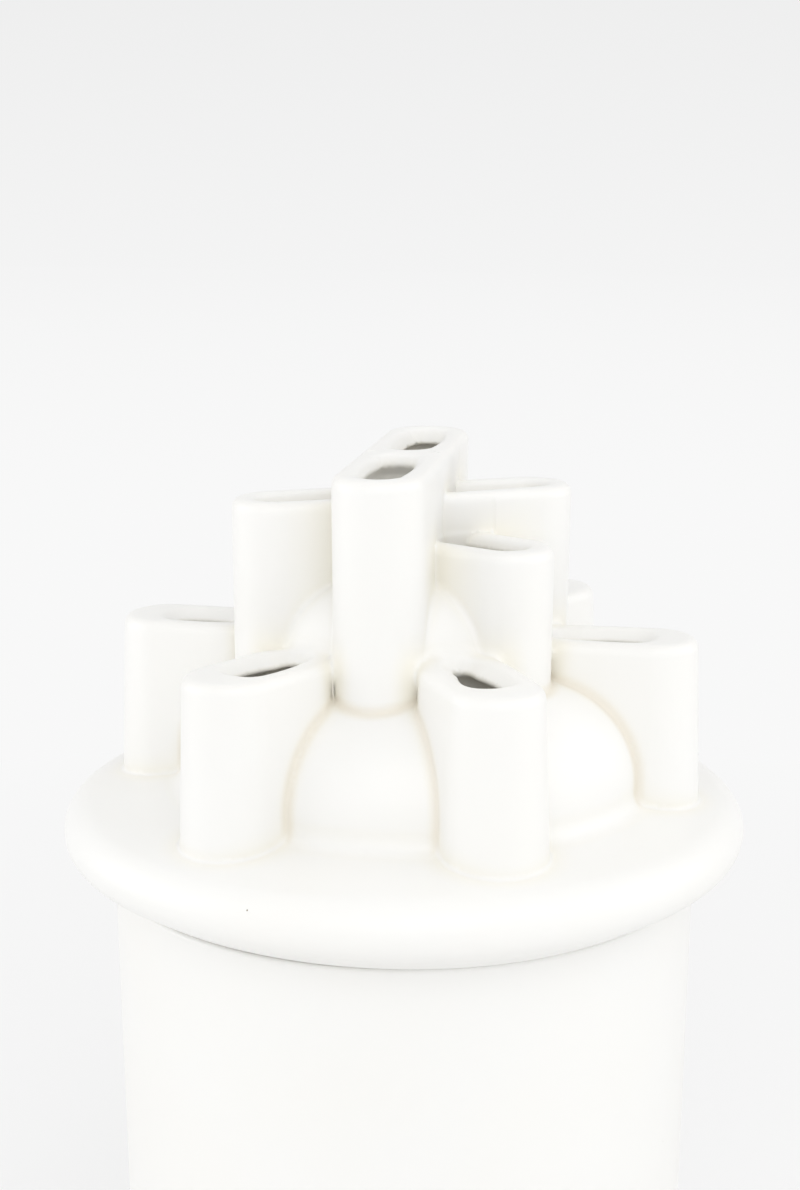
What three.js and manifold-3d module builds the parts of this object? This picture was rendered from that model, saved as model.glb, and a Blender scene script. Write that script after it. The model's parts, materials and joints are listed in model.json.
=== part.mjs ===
// A white glazed flower vase: a nearly straight container and a lift-off cover. The cover is a
// rimmed deck with two stacked drums on it, six low spouts round the lower drum and three pairs
// of taller spouts that cross over the upper drum. Every spout is an oval tube for a few stems.
//
// Lengths are in millimetres and +Z is up. The vase's origin is at the centre of its foot. The
// cover's own origin is on the axis, in the plane where its rim is widest.

import * as THREE from "three";
import { mergeVertices } from "three/addons/utils/BufferGeometryUtils.js";
import Module from "manifold-3d";

const wasm = await Module();
wasm.setup();

// Driving dimensions: what every joint between two pieces keeps clear
const jointGap = 0.3;

// Driving dimensions: the container
const containerHeight = 225.2; // from the foot to the mouth
const containerWall = 6;
const containerTaper = 2.8; // the side's radius is this much smaller at the base
const mouthRounding = 1;
const baseRounding = 5;
const floorThickness = 7;
const footHeight = 4;
const footWidth = 10;
const footInset = 3.5; // from the side's base to the foot's edge
const edgeChamfer = 1; // on the foot and the flange

// Driving dimensions: the two drums
const lowerDrumRadius = 87;
const lowerDrumTop = 55; // above the rim's widest plane
const lowerDrumShoulder = 30;
const upperDrumRadius = 51.5;
const upperDrumHeight = 41; // above the lower drum's top
const upperDrumShoulder = 29;
const drumWall = 6;
const throatInset = 11.5; // from the upper drum's side to the edge of the holes through the drums

// Driving dimensions: the deck and its rim
const deckWidth = 38; // from the lower drum's side to the rim's edge
const deckSlope = 8; // degrees
const deckThickness = 7;
const rimOverhang = 18; // from the container's side to the rim's edge
const rimHeight = 17; // from the seat to the rim's widest plane
const rimNose = 11; // radius of the rounded edge
const flangeClearance = 1.5; // round the flange, inside the mouth
const flangeThickness = 6;
const flangeDepth = 12;

// Driving dimensions: the spouts
const spoutWidth = 32;
const spoutWall = 5;
const lipThickness = 8;
const lipUndercut = 6; // from the middle of the rolled lip down to the plain wall
const lipCurl = 60; // degrees that the lip rolls on under its inner edge
const lowerSpoutProud = 20.7; // past the lower drum's side
const lowerSpoutInset = 3.5; // its inner end, in from the upper drum's side
const lowerSpoutRise = 17.7; // its lip above the lower drum's top
const upperSpoutProud = 11.9; // past the upper drum's side
const lowestLipRise = 12.6; // the lowest pair's lips above the upper drum's top
const lipStep = 14.45; // from one crossing pair's lips up to the next pair's
const dividerThickness = 6;
const dividerDrop = 2; // from the tall pair's lip down to the top of its divider
const dividerFoot = 1; // from the upper drum's top up to the divider

// Where the crossing pairs and the low spouts stand, in degrees from +X
const tallPairAngle = 90;
const middlePairAngle = 30;
const lowPairAngle = 150;
const lowerSpoutCount = 6;

// How finely round shapes are cut into flats
const turnSides = 48;
const endSides = 10;
const noseSides = 8;
const shoulderSides = 6;
const lipSides = 6;
const mouthSides = 2;

// Sizes that follow from the ones above
const halfTurn = 180;
const rimRadius = lowerDrumRadius + deckWidth;
const mouthRadius = rimRadius - rimOverhang;
const seatZ = -rimHeight;
const upperDrumTop = lowerDrumTop + upperDrumHeight;
const throatRadius = upperDrumRadius - throatInset;
const spoutRadius = spoutWidth / 2;
const spoutBore = spoutRadius - spoutWall;
const lipRadius = lipThickness / 2;
const lowerSpoutLip = lowerDrumTop + lowerSpoutRise;
const lowerSpoutReach = lowerDrumRadius + lowerSpoutProud;
const lowerSpoutStart = upperDrumRadius - lowerSpoutInset;
const upperSpoutReach = upperDrumRadius + upperSpoutProud;
const lowLip = upperDrumTop + lowestLipRise;
const middleLip = lowLip + lipStep;
const tallLip = middleLip + lipStep;

// Each spout's spine runs between the middles of its two round ends
const lowerSpine = [lowerSpoutStart + spoutRadius, lowerSpoutReach - spoutRadius];
const upperSpineEnd = upperSpoutReach - spoutRadius;
const pairSpine = [-upperSpineEnd, upperSpineEnd];
const halfPairSpine = [0, upperSpineEnd];

const whiteGlaze = new THREE.MeshStandardMaterial({ color: 0xf4f2ec, roughness: 0.22, metalness: 0 });
const bareClay = new THREE.MeshStandardMaterial({ color: 0xe2d6c2, roughness: 0.85, metalness: 0 });

// Turns a closed geometry into a solid that can be cut and joined.
function toSolid(geometry) {
  const bare = new THREE.BufferGeometry();
  bare.setAttribute("position", geometry.getAttribute("position"));
  bare.setIndex(geometry.getIndex());
  const merged = mergeVertices(bare);
  const index = merged.getIndex();
  const corners = [];
  for (let i = 0; i < index.count; i += 3) {
    const triangle = [index.getX(i), index.getX(i + 1), index.getX(i + 2)];
    if (new Set(triangle).size === 3) corners.push(...triangle);
  }
  const mesh = new wasm.Mesh({
    numProp: 3,
    vertProperties: new Float32Array(merged.getAttribute("position").array),
    triVerts: new Uint32Array(corners),
  });
  return new wasm.Manifold(mesh);
}

function toGeometry(solid) {
  const mesh = solid.getMesh();
  const geometry = new THREE.BufferGeometry();
  geometry.setAttribute("position", new THREE.BufferAttribute(mesh.vertProperties, 3));
  geometry.setIndex(new THREE.BufferAttribute(mesh.triVerts, 1));
  geometry.computeVertexNormals();
  return geometry;
}

function cut(geometry, ...cutters) {
  let solid = toSolid(geometry);
  for (const cutter of cutters) {
    solid = solid.subtract(toSolid(cutter));
  }
  return toGeometry(solid);
}

function point(radius, height) {
  return new THREE.Vector2(radius, height);
}

// Points on an arc in the radius and height plane, from one angle to the other, in degrees.
function arc(centreRadius, centreHeight, radius, from, to, sides) {
  const points = [];
  for (let i = 0; i <= sides; i += 1) {
    const angle = THREE.MathUtils.degToRad(from + ((to - from) * i) / sides);
    points.push(point(centreRadius + radius * Math.cos(angle), centreHeight + radius * Math.sin(angle)));
  }
  return points;
}

// Turns an outline about the Z axis. The outline runs anticlockwise, with the radius to the right.
function turned(outline) {
  return new THREE.LatheGeometry(outline, turnSides).rotateX(Math.PI / 2);
}

function closed(outline) {
  return [...outline, outline[0].clone()];
}

function atAngle(geometry, degrees) {
  return geometry.clone().rotateZ(THREE.MathUtils.degToRad(degrees));
}

// The outside of the deck and rim, moved out by an offset: from the seat's outer corner, up the
// slanted underside, round the nose and in along the deck to the given radius.
function deckOutline(offset, innerRadius) {
  const noseRadius = rimRadius - rimNose;
  const toNose = Math.hypot(noseRadius - mouthRadius, rimHeight);
  const underside = Math.atan2(rimHeight, noseRadius - mouthRadius) - Math.asin(rimNose / toNose);
  const corner = point(
    mouthRadius + offset * Math.sin(underside),
    seatZ - offset * Math.cos(underside),
  );
  const noseStart = THREE.MathUtils.radToDeg(underside) - 90;
  const nose = arc(noseRadius, 0, rimNose + offset, noseStart, 90 - deckSlope, noseSides);
  const noseEnd = nose[nose.length - 1];
  const climb = (noseEnd.x - innerRadius) * Math.tan(THREE.MathUtils.degToRad(deckSlope));
  return [corner, ...nose, point(innerRadius, noseEnd.y + climb)];
}

// The outside of a round-shouldered drum, from its lowest height to its top at the given radius.
function drumOutline(radius, shoulder, bottom, top, innerRadius) {
  const round = arc(radius - shoulder, top - shoulder, shoulder, 0, 90, shoulderSides);
  return [point(radius, bottom), ...round, point(innerRadius, top)];
}

function drumShell(radius, shoulder, bottom, top, innerRadius) {
  const outside = drumOutline(radius, shoulder, bottom, top, innerRadius);
  const inside = drumOutline(
    radius - drumWall,
    shoulder - drumWall,
    bottom,
    top - drumWall,
    innerRadius,
  );
  return turned(closed([...outside, ...inside.reverse()]));
}

// Solid stand-ins for the deck and the drums, one joint gap larger, that cut what sits on them.
function filledDeck() {
  return turned([point(0, seatZ), ...deckOutline(jointGap, 0)]);
}

function filledDrum(radius, shoulder, bottom, top) {
  const outline = drumOutline(radius + jointGap, shoulder + jointGap, bottom, top + jointGap, 0);
  return turned([point(0, bottom), ...outline]);
}

function filledLowerDrum() {
  return filledDrum(lowerDrumRadius, lowerDrumShoulder, 0, lowerDrumTop);
}

function filledUpperDrum() {
  return filledDrum(upperDrumRadius, upperDrumShoulder, lowerDrumTop - drumWall, upperDrumTop);
}

// An upright oval prism along +X, round at both ends.
function ovalPrism([start, end], radius, bottom, top) {
  const shape = new THREE.Shape();
  shape.absarc(end, 0, radius, -Math.PI / 2, Math.PI / 2);
  shape.absarc(start, 0, radius, Math.PI / 2, (3 * Math.PI) / 2);
  const options = { depth: top - bottom, bevelEnabled: false, curveSegments: endSides / 2 };
  return new THREE.ExtrudeGeometry(shape, options).translate(0, 0, bottom);
}

// The wall of a spout in section: how far in from its outer face, and how high. The lip is a
// rolled bead, thicker than the wall below it.
function spoutSection(bottom, lip) {
  const middle = lip - lipRadius;
  return [
    point(0, bottom),
    ...arc(lipRadius, middle, lipRadius, 180, -lipCurl, lipSides),
    point(spoutWall, middle - lipUndercut),
    point(spoutWall, bottom),
  ];
}

// An oval tube along +X: the wall's section carried once round the oval.
function spoutTube([start, end], bottom, lip) {
  const section = spoutSection(bottom, lip);
  const stations = [];
  for (const [middle, from] of [[end, -90], [start, 90]]) {
    for (let i = 0; i <= endSides; i += 1) {
      const angle = THREE.MathUtils.degToRad(from + (halfTurn * i) / endSides);
      stations.push([middle, Math.cos(angle), Math.sin(angle)]);
    }
  }
  const positions = [];
  for (const [middle, across, along] of stations) {
    for (const { x: inset, y: height } of section) {
      const radius = spoutRadius - inset;
      positions.push(middle + radius * across, radius * along, height);
    }
  }
  const corners = [];
  stations.forEach((_, i) => {
    section.forEach((__, k) => {
      const next = ((i + 1) % stations.length) * section.length;
      const here = i * section.length;
      const up = (k + 1) % section.length;
      corners.push(here + k, next + k, next + up, here + k, next + up, here + up);
    });
  });
  const geometry = new THREE.BufferGeometry();
  geometry.setAttribute("position", new THREE.Float32BufferAttribute(positions, 3));
  geometry.setIndex(corners);
  return geometry;
}

// What a spout's neighbours are cut by: its outside, one joint gap larger.
function spoutBody(spine, lip) {
  return ovalPrism(spine, spoutRadius + jointGap, 0, lip + jointGap);
}

function containerBaseRadius() {
  return mouthRadius - containerTaper;
}

function footRing() {
  const outer = containerBaseRadius() - footInset;
  const top = footHeight - jointGap;
  return turned(closed([
    point(outer - footWidth + edgeChamfer, 0),
    point(outer - edgeChamfer, 0),
    point(outer, edgeChamfer),
    point(outer, top),
    point(outer - footWidth, top),
    point(outer - footWidth, edgeChamfer),
  ]));
}

function containerFloor() {
  const edge = containerBaseRadius() - containerWall - jointGap;
  const top = footHeight + floorThickness;
  return turned([point(0, footHeight), point(edge, footHeight), point(edge, top), point(0, top)]);
}

function containerSide() {
  const base = containerBaseRadius();
  const mouthTurn = mouthRadius - mouthRounding;
  const mouthHeight = containerHeight - mouthRounding;
  return turned(closed([
    ...arc(base - baseRounding, footHeight + baseRounding, baseRounding, -90, 0, lipSides),
    ...arc(mouthTurn, mouthHeight, mouthRounding, 0, 90, mouthSides),
    point(mouthRadius - containerWall, containerHeight),
    point(base - containerWall, footHeight),
  ]));
}

// The deck, its rounded rim and the seat under it are one shell that is open towards the axis.
function deck() {
  const hole = lowerDrumRadius - drumWall;
  const seatInner = mouthRadius - containerWall - flangeClearance - flangeThickness;
  const seatTop = seatZ + deckThickness;
  const outside = deckOutline(0, hole);
  const [foot, noseStart, ...inside] = deckOutline(-deckThickness, hole);
  const slant = (noseStart.x - foot.x) / (noseStart.y - foot.y);
  const corner = point(foot.x + (seatTop - foot.y) * slant, seatTop);
  return turned(closed([
    ...outside,
    ...inside.reverse(),
    noseStart,
    corner,
    point(seatInner, seatTop),
    point(seatInner, seatZ),
  ]));
}

function locatingFlange() {
  const outer = mouthRadius - containerWall - flangeClearance;
  const top = seatZ - jointGap;
  const bottom = seatZ - flangeDepth;
  return turned(closed([
    point(outer - flangeThickness, bottom),
    point(outer - edgeChamfer, bottom),
    point(outer, bottom + edgeChamfer),
    point(outer, top),
    point(outer - flangeThickness, top),
  ]));
}

// The holes under the low spouts, through the deck and the lower drum.
function lowerSpoutBores() {
  const bottom = (seatZ + deckThickness) / 2;
  const bore = ovalPrism(lowerSpine, spoutBore, bottom, lowerSpoutLip);
  return lowerSpoutAngles().map((angle) => atAngle(bore, angle));
}

function lowerSpoutAngles() {
  const step = 360 / lowerSpoutCount;
  return Array.from({ length: lowerSpoutCount }, (_, i) => i * step);
}

// The lower drum has one round hole in its top, under the upper drum.
function lowerDrum() {
  const bottom = seatZ + deckThickness;
  const shell = drumShell(lowerDrumRadius, lowerDrumShoulder, bottom, lowerDrumTop, throatRadius);
  return cut(shell, filledDeck(), ...lowerSpoutBores());
}

// The upper drum has one long hole through its top under each crossing pair.
function upperDrum() {
  const bottom = lowerDrumTop - drumWall;
  const shell = drumShell(upperDrumRadius, upperDrumShoulder, bottom, upperDrumTop, 0);
  const throatEnd = throatRadius - spoutBore;
  const throat = ovalPrism([-throatEnd, throatEnd], spoutBore, lowerDrumTop, tallLip);
  const throats = [tallPairAngle, middlePairAngle, lowPairAngle].map((angle) => atAngle(throat, angle));
  return cut(shell, filledLowerDrum(), ...throats);
}

function lowerSpout() {
  const tube = spoutTube(lowerSpine, 0, lowerSpoutLip);
  const turnToPair = middlePairAngle;
  const neighbour = spoutBody(halfPairSpine, lowLip);
  return cut(
    tube,
    filledDeck(),
    filledLowerDrum(),
    filledUpperDrum(),
    atAngle(neighbour, turnToPair),
    atAngle(neighbour, -turnToPair),
  );
}

function tallSpouts() {
  const tube = spoutTube(pairSpine, lowerDrumTop - lowerDrumShoulder, tallLip);
  return atAngle(cut(tube, filledLowerDrum(), filledUpperDrum()), tallPairAngle);
}

// One spout of a lower crossing pair. It ends at the side of each pair taller than its own.
function crossingSpout(angle, lip, tallerPairs) {
  const tube = spoutTube(halfPairSpine, lowerDrumTop - lowerDrumShoulder, lip);
  const cutters = tallerPairs.map((pair) => atAngle(spoutBody(pairSpine, tallLip), pair));
  return cut(atAngle(tube, angle), filledLowerDrum(), filledUpperDrum(), ...cutters);
}

// The wall across the tall pair that parts it into two mouths, narrower inside the rolled lip.
function tallDivider() {
  const wide = spoutBore - jointGap;
  const narrow = spoutRadius - lipThickness - jointGap;
  const bottom = upperDrumTop + dividerFoot;
  const shoulder = tallLip - lipRadius - lipUndercut;
  const top = tallLip - dividerDrop;
  const shape = new THREE.Shape([
    point(-wide, bottom),
    point(wide, bottom),
    point(wide, shoulder - jointGap),
    point(narrow, shoulder + lipUndercut / 2),
    point(narrow, top),
    point(-narrow, top),
    point(-narrow, shoulder + lipUndercut / 2),
    point(-wide, shoulder - jointGap),
  ]);
  const wall = new THREE.ExtrudeGeometry(shape, { depth: dividerThickness, bevelEnabled: false });
  return wall.rotateX(Math.PI / 2).translate(0, dividerThickness / 2, 0);
}

function piece(name, geometry, material) {
  const mesh = new THREE.Mesh(geometry, material);
  mesh.name = name;
  return mesh;
}

function makeContainer() {
  const container = new THREE.Group();
  container.add(piece("foot_ring", footRing(), bareClay));
  container.add(piece("container_floor", containerFloor(), whiteGlaze));
  container.add(piece("container_wall", containerSide(), whiteGlaze));
  return container;
}

function addLowerSpouts(cover) {
  const geometry = lowerSpout();
  lowerSpoutAngles().forEach((angle, i) => {
    const spout = piece(`lower_spout_${i + 1}`, geometry, whiteGlaze);
    spout.rotation.z = THREE.MathUtils.degToRad(angle);
    cover.add(spout);
  });
}

function addCrossingSpouts(cover) {
  const opposite = halfTurn;
  cover.add(piece("tall_spout_tube", tallSpouts(), whiteGlaze));
  cover.add(piece("tall_spout_divider", tallDivider(), whiteGlaze));
  const middleCuts = [tallPairAngle];
  const lowCuts = [tallPairAngle, middlePairAngle];
  const spouts = [
    ["middle_spout_right", middlePairAngle, middleLip, middleCuts],
    ["middle_spout_left", middlePairAngle + opposite, middleLip, middleCuts],
    ["low_spout_right", lowPairAngle + opposite, lowLip, lowCuts],
    ["low_spout_left", lowPairAngle, lowLip, lowCuts],
  ];
  for (const [name, angle, lip, tallerPairs] of spouts) {
    cover.add(piece(name, crossingSpout(angle, lip, tallerPairs), whiteGlaze));
  }
}

function makeCover() {
  const cover = new THREE.Group();
  cover.position.z = containerHeight + jointGap + rimHeight;
  cover.add(piece("cover_deck", cut(deck(), ...lowerSpoutBores()), whiteGlaze));
  cover.add(piece("locating_flange", locatingFlange(), bareClay));
  cover.add(piece("lower_drum", lowerDrum(), whiteGlaze));
  cover.add(piece("upper_drum", upperDrum(), whiteGlaze));
  addLowerSpouts(cover);
  addCrossingSpouts(cover);
  return cover;
}

const vase = new THREE.Group();
vase.add(makeContainer());
vase.add(makeCover());

export default vase;
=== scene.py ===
"""The looks of a white glazed flower vase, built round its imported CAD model.

On the real vase the cover's deck, drums and spouts are luted together and glazed over, so they
show as one skin. That skin is cut out of a distance field here: each part is a formula that gives
how far a point lies outside it, and every joint between two parts is a small fillet of clay and
glaze. The container and the bare foot are turned from their outlines.

Lengths are in millimetres, and meshes are made in metres. +Z is up. The cover's formulas measure
heights from the plane in which its rim is widest.
"""

import itertools
import json
import math
from collections import namedtuple

import bmesh
import bpy
import numpy as np
from mathutils import Matrix, Vector

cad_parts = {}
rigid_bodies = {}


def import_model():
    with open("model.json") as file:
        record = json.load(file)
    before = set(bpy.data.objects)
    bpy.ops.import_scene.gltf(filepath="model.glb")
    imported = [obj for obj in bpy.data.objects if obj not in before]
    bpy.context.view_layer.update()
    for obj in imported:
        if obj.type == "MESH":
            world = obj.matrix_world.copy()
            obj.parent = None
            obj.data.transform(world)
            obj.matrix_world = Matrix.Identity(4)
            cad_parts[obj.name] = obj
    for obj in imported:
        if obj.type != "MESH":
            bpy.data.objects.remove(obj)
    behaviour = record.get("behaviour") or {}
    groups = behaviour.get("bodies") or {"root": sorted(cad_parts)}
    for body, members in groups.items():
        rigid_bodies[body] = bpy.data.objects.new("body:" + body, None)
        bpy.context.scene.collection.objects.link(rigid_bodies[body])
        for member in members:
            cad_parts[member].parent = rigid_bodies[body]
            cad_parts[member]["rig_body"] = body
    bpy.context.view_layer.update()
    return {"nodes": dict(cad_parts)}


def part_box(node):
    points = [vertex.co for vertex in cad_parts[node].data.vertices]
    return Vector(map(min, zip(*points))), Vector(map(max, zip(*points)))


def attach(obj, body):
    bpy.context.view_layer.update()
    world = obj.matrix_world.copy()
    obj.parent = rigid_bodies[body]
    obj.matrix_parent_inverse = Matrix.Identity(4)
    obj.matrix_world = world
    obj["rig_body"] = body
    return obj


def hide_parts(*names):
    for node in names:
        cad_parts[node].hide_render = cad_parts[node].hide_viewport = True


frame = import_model()

MILLIMETRE = 0.001


def node_box(name):
    """A CAD node's lowest and highest corners, in millimetres."""
    low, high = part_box(name)
    return np.array(low) / MILLIMETRE, np.array(high) / MILLIMETRE


# Heights and radii that the frame gives
WALL_LOW, WALL_HIGH = node_box("container_wall")
FOOT_LOW, FOOT_HIGH = node_box("foot_ring")
FLOOR_HIGH = node_box("container_floor")[1]
FLANGE_LOW, FLANGE_HIGH = node_box("locating_flange")
DECK_LOW, DECK_HIGH = node_box("cover_deck")
LOWER_DRUM_HIGH = node_box("lower_drum")[1]
UPPER_DRUM_HIGH = node_box("upper_drum")[1]
LOWER_SPOUT_HIGH = node_box("lower_spout_1")[1]
TALL_HIGH = node_box("tall_spout_tube")[1]
MIDDLE_HIGH = node_box("middle_spout_right")[1]
LOW_HIGH = node_box("low_spout_right")[1]

# The deck, its rim and the seat under it
RIM_HEIGHT = 17.0  # from the seat up to the rim's widest plane
RIM_PLANE = DECK_LOW[2] + RIM_HEIGHT
RIM_RADIUS = DECK_HIGH[0]
RIM_OVERHANG = 18.0  # how far the rim stands out beyond the seat
RIM_NOSE = 11.0  # radius of the rim's round edge
DECK_SLOPE = math.radians(8)
DECK_THICKNESS = 7.0
SEAT = -RIM_HEIGHT
SEAT_RADIUS = RIM_RADIUS - RIM_OVERHANG
SEAT_HOLE = 93.5  # radius of the opening inside the seat
SEAT_EDGE = 1.2  # how far the seat's edges are rounded

# The drums
DRUM_WALL = 6.0
LOWER_DRUM_SLIMMER = 1.8  # how much slimmer and taller the potter made it than the even CAD drum
LOWER_DRUM_TALLER = 4.0
LOWER_DRUM_RADIUS = LOWER_DRUM_HIGH[1] - LOWER_DRUM_SLIMMER
LOWER_DRUM_TOP = LOWER_DRUM_HIGH[2] - RIM_PLANE + LOWER_DRUM_TALLER
LOWER_DRUM_SHOULDER = 36.0
LOWER_DRUM_SHIFT = (3.8, 0.4)  # how far off the axis the potter set it
UPPER_DRUM_RADIUS = UPPER_DRUM_HIGH[1]
UPPER_DRUM_TOP = UPPER_DRUM_HIGH[2] - RIM_PLANE
UPPER_DRUM_SHOULDER = 29.0
THROAT_INSET = 11.5  # from the upper drum's outer face to the hole between the two drums
THROAT_RADIUS = UPPER_DRUM_RADIUS - THROAT_INSET

# The spouts
SPOUT_RADIUS = LOWER_SPOUT_HIGH[1]
SPOUT_WALL = 7.4
SPOUT_BORE = SPOUT_RADIUS - SPOUT_WALL
LIP_RADIUS = 4.0  # of the rolled outer edge
LIP_EDGE = 1.2  # radius of the lip's crisp inner edge
UPPER_REACH = 8.4  # from a crossing spout's outer face to that inner edge
UPPER_FALL = 3.0  # how far its lip's top slopes down to it
TALL_REAR_REACH = 9.4  # the same two for the tall pair's rear mouth
TALL_REAR_FALL = 4.6
LOWER_REACH = 10.4  # and for the low spouts
LOWER_FALL = 3.2
LIP_PINCH = 0.2  # how much broader a lip is round the ends of its mouth
LOWER_MOUTH_SHIFTS = (-7.0, -7.0, -7.0, -7.0, -9.0, -7.0)  # how far the mouths lie towards the axis
SHIFT_DEPTH = 13.0  # how far inside the outer face that shift is full
LIP_SINK = 1.5  # how softly the rolled lip runs into the wall under it
LOWER_FLARE = 0.033  # how much a low spout widens for each millimetre down
UPPER_FLARE = -0.006  # how much a crossing one does: it narrows a little
TALL_TILT = 0.014  # how much the tall pair's lips drop for each millimetre forward
TALL_DROP = 0.5  # how much they lie lower in the middle than the CAD tube's top
LOWER_SPOUT_OVERLAP = 3.5  # how far a low spout's inner end reaches into the upper drum
LOWER_SPOUT_SHORTER = 1.2  # how much sooner than in CAD its outer end comes, at the lip
LOWER_SPOUT_START = UPPER_DRUM_RADIUS - LOWER_SPOUT_OVERLAP + SPOUT_RADIUS
LOWER_SPOUT_END = LOWER_SPOUT_HIGH[0] - SPOUT_RADIUS - LOWER_SPOUT_SHORTER
LOWER_SPOUT_LIP = LOWER_SPOUT_HIGH[2] - RIM_PLANE
UPPER_SPOUT_END = TALL_HIGH[1] - SPOUT_RADIUS
TALL_LIP = TALL_HIGH[2] - RIM_PLANE - TALL_DROP
MIDDLE_LIP = MIDDLE_HIGH[2] - RIM_PLANE
LOW_LIP = LOW_HIGH[2] - RIM_PLANE
BORE_BOTTOM = -5.0  # how far down the low spouts' bores reach
WINDOW_WIDTH = 24.0  # the opening from a low spout's inner end into the upper drum
WINDOW_DEPTH = 6.0  # from the lip down to that opening
WINDOW_REACH = 3.0  # how far it runs along the spout's sides
WINDOW_WALL = 3.0  # the clay that it leaves beside it
DIVIDER = 8.0  # the wall that parts the tall pair's two mouths

# How softly the clay joins
DECK_BLEND = 6.0
SPOUT_BLEND = 1.5
SPOUT_FOOT_BLEND = 7.0  # where a spout stands on the deck
SPOUT_FOOT_RISE = 12.0
UPPER_BLEND = 5.0  # where a low spout's inner end meets the parts above the lower drum
UPPER_BLEND_RISE = (2.0, 10.0)  # the heights above that drum between which this fillet grows
TUBE_BLEND = 2.0  # where the crossing pairs meet each other and the upper drum
HIDDEN_BLEND = 4.0  # inside, between the deck's hollow and the lower drum's
MOUTH_BLEND = 1.2  # the edges that the hollows leave
TRIM = 2.5  # how far a wall reaches into the wall that it ends at

# How unevenly the hand-built clay lies
WAVE_DEPTH = 0.25
WAVE_LENGTHS = (31.0, 43.0, 57.0)  # for each radian of a wave
WAVE_STARTS = (0.7, 1.9, 0.4)  # in radians

# Where the glaze ends inside, measured from the opening of a mouth
GLAZE_DEPTH = 13.0
GLAZE_FADE = 3.0
INSIDE_DEPTH = (1.0, 2.5)  # how far under the filled shape the inside begins

# The grid that the cover is cut out on, and how its points are settled and evened
CELL = 1.5
CELL_CORNERS = 8
GRID_MARGIN = 4.0
GRADIENT_STEP = 0.05
SETTLE_ROUNDS = 3
LEAST_STEEPNESS = 0.25  # of a field's slope, squared, so that no point moves too far
SHARP_BEND = 0.3  # the bend from which the mesh is made finer
SMOOTH_ROUNDS = 1
SMOOTH_SHARE = 0.5  # how far a point goes towards its neighbours' middle in a round
MOST_SIDES = 4  # of a face that is left as it is

# What the glaze is told about each point
BEND_REACH = 1.6  # how far apart the bend of the surface is felt
RECESS_REACHES = (4.0, 9.0, 18.0, 30.0)  # how far off a neighbouring wall shelters a point
CREASE_REACH = 4.0  # how far from a crease the painted shade and the pooled glaze reach
CREASE_DEPTH = (-2.0, -1.0)  # how deep in the clay a joint stops counting as a crease
CREASE_RISE = (2.0, 22.0)  # the heights between which that begins

# A spout or a crossing pair is a tube with round ends, seen from above. It has the way that it
# points, where the middles of its two ends lie along that way, the height of its lip, the reach and
# fall of the lip's top, how much it widens downwards, and how its lip tilts and its mouth is shifted.
Tube = namedtuple("Tube", "turn start end lip reach fall flare tilt shift", defaults=(0.0, 0.0))

# Which way the tubes point, in degrees, with how far the potter set each off its even place
LOWER_SPACING = 60
LOWER_TURN_SLIPS = (0.4, 0.5, 0.0, -1.7, 0.8, 0.5)
TALL_TURN_SLIP = 0.7
MIDDLE_TURN_SLIP = -1.0
LOW_TURN_SLIP = 0.3
TALL_TURN = math.radians(90 + TALL_TURN_SLIP)
MIDDLE_TURN = math.radians(30 + MIDDLE_TURN_SLIP)
LOW_TURN = math.radians(150 + LOW_TURN_SLIP)
LOWER_TURNS = [math.radians(LOWER_SPACING * i + slip) for i, slip in enumerate(LOWER_TURN_SLIPS)]

UPPER_LIP_SHAPE = (UPPER_REACH, UPPER_FALL, UPPER_FLARE)
LOWER_LIP_SHAPE = (LOWER_REACH, LOWER_FALL, LOWER_FLARE)
TALL_LIP_SHAPE = (*UPPER_LIP_SHAPE, TALL_TILT)
TALL_REAR_SHAPE = (TALL_REAR_REACH, TALL_REAR_FALL, UPPER_FLARE, TALL_TILT)
TALL_PAIR = Tube(TALL_TURN, -UPPER_SPOUT_END, UPPER_SPOUT_END, TALL_LIP, *TALL_LIP_SHAPE)
MIDDLE_PAIR = Tube(MIDDLE_TURN, -UPPER_SPOUT_END, UPPER_SPOUT_END, MIDDLE_LIP, *UPPER_LIP_SHAPE)
LOW_PAIR = Tube(LOW_TURN, -UPPER_SPOUT_END, UPPER_SPOUT_END, LOW_LIP, *UPPER_LIP_SHAPE)
UPPER_PAIRS = (LOW_PAIR, MIDDLE_PAIR, TALL_PAIR)
LOWER_SPOUTS = [
    Tube(turn, LOWER_SPOUT_START, LOWER_SPOUT_END, LOWER_SPOUT_LIP, *LOWER_LIP_SHAPE, shift=shift)
    for turn, shift in zip(LOWER_TURNS, LOWER_MOUTH_SHIFTS)
]


def union(first, second, blend):
    """The nearer of two shapes, with a fillet where they meet."""
    overlap = np.maximum(blend - np.abs(first - second), 0)
    return np.minimum(first, second) - overlap * overlap / (4 * blend)


def cut(shape, hole, blend):
    """A shape without what lies in the hole, with its edges eased."""
    return -union(-shape, hole, blend)


def soft_step(value, start, end):
    """0 before the start and 1 after the end, with a soft rise between them."""
    share = np.clip((value - start) / (end - start), 0, 1)
    return share * share * (3 - 2 * share)


def corner(across, up, radius):
    """A region that is bounded by across = 0 and up = 0, with its corner rounded."""
    outside = np.hypot(np.maximum(across + radius, 0), np.maximum(up + radius, 0))
    return outside + np.minimum(np.maximum(across, up) + radius, 0) - radius


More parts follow.
